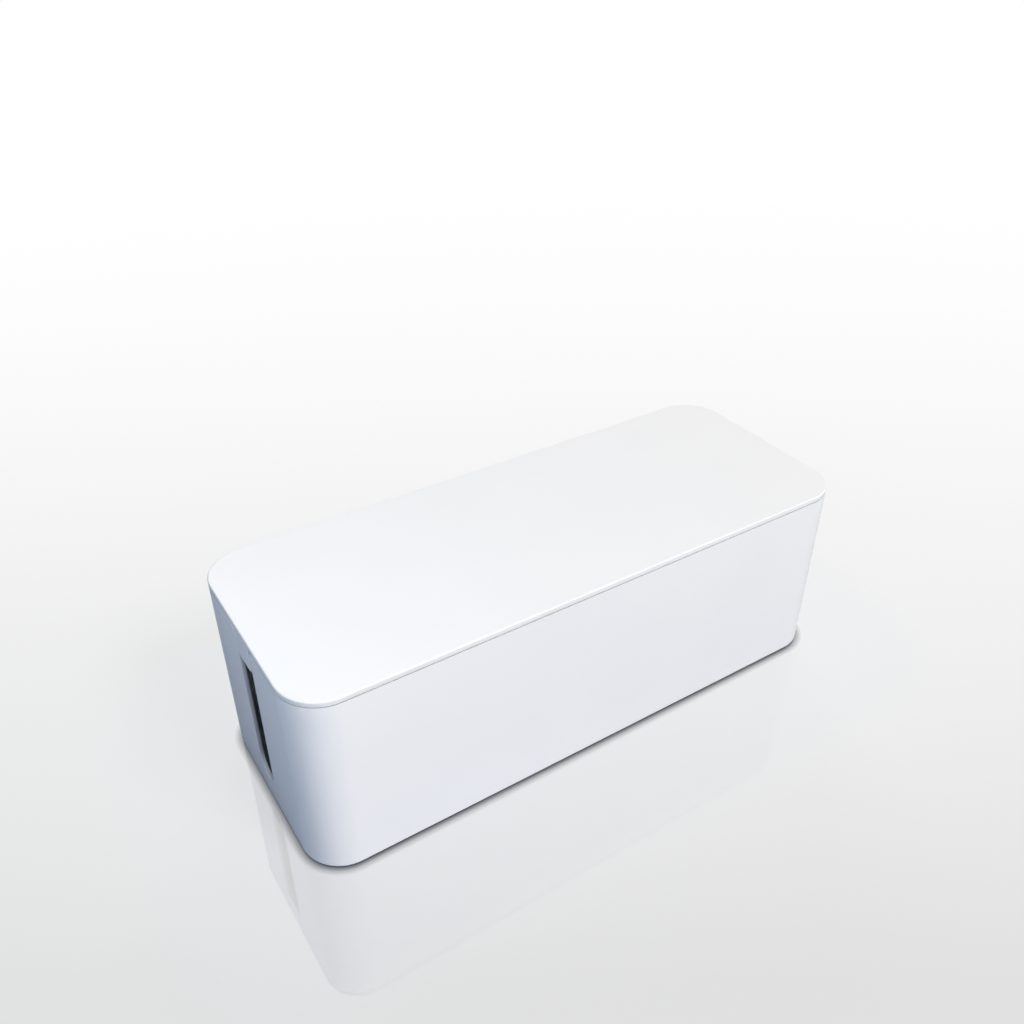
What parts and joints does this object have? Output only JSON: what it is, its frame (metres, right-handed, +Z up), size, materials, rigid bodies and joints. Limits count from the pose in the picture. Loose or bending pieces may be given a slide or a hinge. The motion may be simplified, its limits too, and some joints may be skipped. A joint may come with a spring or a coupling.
{
  "type": "cable management box",
  "caption": "Long rounded box with an open cable slot in each end and a flat lift-off lid, for hiding a power strip and its spare cable.",
  "frame": {"origin": "on the desk, under the middle of the box, level with the feet's undersides", "axes": "+X along the box's length, +Y from the front to the rear, +Z up"},
  "size_m": [0.406, 0.156, 0.137],
  "materials": {
    "white_box": "injection-moulded ABS, satin, cool white",
    "white_lid": "injection-moulded ABS, satin, cool white",
    "foot_rubber": "moulded rubber, matt, dark grey"
  },
  "bodies": {
    "box": {"box_body": "white_box", "foot_front_left": "foot_rubber", "foot_front_right": "foot_rubber", "foot_rear_left": "foot_rubber", "foot_rear_right": "foot_rubber"},
    "lid": {"lid": "white_lid"}
  },
  "joints": [
    {"name": "lid_lift", "type": "slide", "parent": "box", "child": "lid", "axis": [0, 0, 1], "range_m": [0, 0.23]}
  ]
}
